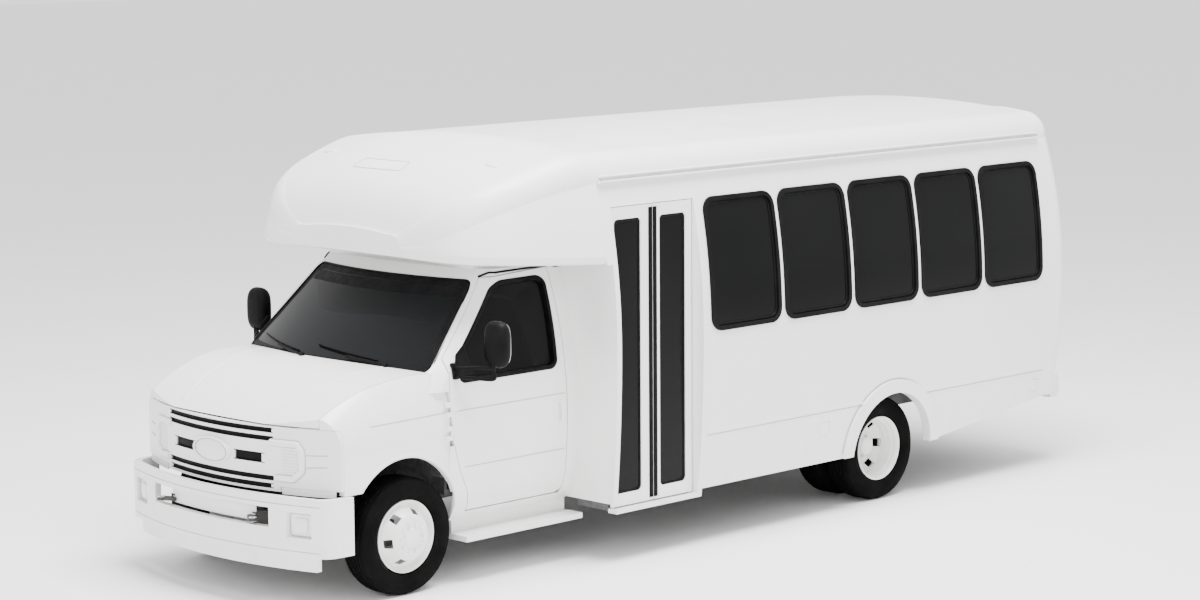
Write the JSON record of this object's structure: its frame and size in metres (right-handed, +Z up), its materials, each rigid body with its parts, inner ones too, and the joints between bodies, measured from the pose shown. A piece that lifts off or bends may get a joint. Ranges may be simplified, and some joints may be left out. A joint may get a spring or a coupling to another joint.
{
  "type": "minibus",
  "caption": "Cutaway minibus: a van cab with a wide high-roofed passenger body, twin rear wheels, a two-leaf entry door and opening cab, hood and rear doors.",
  "frame": {"origin": "bottom centre of the whole vehicle's bounding box, on the ground", "axes": "+X points forward, +Y to the vehicle's left, +Z up"},
  "size_m": [7.2499, 2.732, 2.7514],
  "materials": {
    "body_paint": "gloss",
    "white_plastic": "satin",
    "black_plastic": "matte",
    "tinted_glass": "gloss",
    "tyre": "matte",
    "wheel_paint": "satin",
    "chassis_paint": "satin",
    "cast_iron": "rough",
    "exhaust_steel": "brushed",
    "floor_covering": "matte",
    "seat_fabric": "woven",
    "grey_plastic": "grained"
  },
  "bodies": {
    "vehicle_body": {"cab_frame": "body_paint", "fenders": "body_paint", "front_bulkhead": "body_paint", "side_panel_left": "body_paint", "side_panel_right": "body_paint", "door_surround": "body_paint", "skirts": "body_paint", "roof": "body_paint", "front_cap": "white_plastic", "rear_cap": "white_plastic", "grille": "white_plastic", "headlamps": "white_plastic", "front_bumper": "white_plastic", "rear_bumper": "white_plastic", "running_boards": "white_plastic", "rear_lamps": "white_plastic", "window_frames": "black_plastic", "radiator": "black_plastic", "windshield": "tinted_glass", "window_glass": "tinted_glass", "chassis_frame": "chassis_paint", "springs": "chassis_paint", "fuel_tank": "chassis_paint", "seat_bases": "chassis_paint", "engine_block": "cast_iron", "rear_axle": "cast_iron", "front_axle": "cast_iron", "exhaust": "exhaust_steel", "saloon_floor": "floor_covering", "step_well": "floor_covering", "cab_floor": "floor_covering", "seat_cushions": "seat_fabric", "seat_backs": "seat_fabric", "dashboard": "grey_plastic"},
    "knuckle_left": {"knuckle_left": "cast_iron"},
    "knuckle_right": {"knuckle_right": "cast_iron"},
    "tie_rod": {"tie_rod": "cast_iron"},
    "wheel_front_left": {"tyre_front_left": "tyre", "rim_front_left": "wheel_paint"},
    "wheel_front_right": {"tyre_front_right": "tyre", "rim_front_right": "wheel_paint"},
    "wheels_rear_left": {"tyres_rear_left": "tyre", "rims_rear_left": "wheel_paint"},
    "wheels_rear_right": {"tyres_rear_right": "tyre", "rims_rear_right": "wheel_paint"},
    "hood": {"hood": "body_paint"},
    "cab_door_left": {"cab_door_left": "body_paint", "cab_door_glass_left": "tinted_glass", "mirror_left": "black_plastic"},
    "cab_door_right": {"cab_door_right": "body_paint", "cab_door_glass_right": "tinted_glass", "mirror_right": "black_plastic"},
    "entry_door_front": {"entry_leaf_front": "body_paint", "entry_glass_front": "tinted_glass"},
    "entry_door_rear": {"entry_leaf_rear": "body_paint", "entry_glass_rear": "tinted_glass"},
    "rear_door": {"rear_door": "body_paint", "rear_door_glass": "tinted_glass"},
    "steering_wheel": {"steering_wheel": "black_plastic"}
  },
  "joints": [
    {"name": "steer_left", "type": "hinge", "parent": "vehicle_body", "child": "knuckle_left", "pos_m": [2.775, 0.72, 0.372], "axis": [0, 0, 1], "range_deg": [-32, 32]},
    {"name": "steer_right", "type": "hinge", "parent": "vehicle_body", "child": "knuckle_right", "pos_m": [2.775, -0.72, 0.372], "axis": [0, 0, 1], "range_deg": [-32, 32]},
    {"name": "tie_rod_pivot", "type": "hinge", "parent": "knuckle_left", "child": "tie_rod", "pos_m": [2.585, 0.72, 0.262], "axis": [0, 0, 1], "range_deg": [-32, 32]},
    {"name": "wheel_front_left_spin", "type": "hinge", "parent": "knuckle_left", "child": "wheel_front_left", "pos_m": [2.775, 0.8485, 0.372], "axis": [0, 1, 0], "continuous": true},
    {"name": "wheel_front_right_spin", "type": "hinge", "parent": "knuckle_right", "child": "wheel_front_right", "pos_m": [2.775, -0.8485, 0.372], "axis": [0, 1, 0], "continuous": true},
    {"name": "wheels_rear_left_spin", "type": "hinge", "parent": "vehicle_body", "child": "wheels_rear_left", "pos_m": [-1.496, 0.9615, 0.372], "axis": [0, 1, 0], "continuous": true},
    {"name": "wheels_rear_right_spin", "type": "hinge", "parent": "vehicle_body", "child": "wheels_rear_right", "pos_m": [-1.496, -0.9615, 0.372], "axis": [0, 1, 0], "continuous": true},
    {"name": "hood_lift", "type": "hinge", "parent": "vehicle_body", "child": "hood", "pos_m": [2.53, 0, 1.375], "axis": [0, -1, 0], "range_deg": [0, 55]},
    {"name": "cab_door_left_hinge", "type": "hinge", "parent": "vehicle_body", "child": "cab_door_left", "pos_m": [2.434, 1.002, 1], "axis": [0, 0, -1], "range_deg": [0, 65]},
    {"name": "cab_door_right_hinge", "type": "hinge", "parent": "vehicle_body", "child": "cab_door_right", "pos_m": [2.434, -1.002, 1], "axis": [0, 0, 1], "range_deg": [0, 65]},
    {"name": "entry_door_front_hinge", "type": "hinge", "parent": "vehicle_body", "child": "entry_door_front", "pos_m": [1.253, 1.24, 1.3], "axis": [0, 0, -1], "range_deg": [0, 88]},
    {"name": "entry_door_rear_hinge", "type": "hinge", "parent": "vehicle_body", "child": "entry_door_rear", "pos_m": [0.527, 1.24, 1.3], "axis": [0, 0, 1], "range_deg": [0, 88]},
    {"name": "rear_door_hinge", "type": "hinge", "parent": "vehicle_body", "child": "rear_door", "pos_m": [-3.546, -0.427, 1.4], "axis": [0, 0, 1], "range_deg": [0, 100]},
    {"name": "steering_wheel_turn", "type": "hinge", "parent": "vehicle_body", "child": "steering_wheel", "pos_m": [2.03, -0.45, 1.25], "axis": [-0.788, 0, 0.6157], "range_deg": [-580, 580]}
  ],
  "couplings": [
    {"joint": "steer_right", "follows": "steer_left", "ratio": 1},
    {"joint": "tie_rod_pivot", "follows": "steer_left", "ratio": -1},
    {"joint": "steering_wheel_turn", "follows": "steer_left", "ratio": 18}
  ]
}
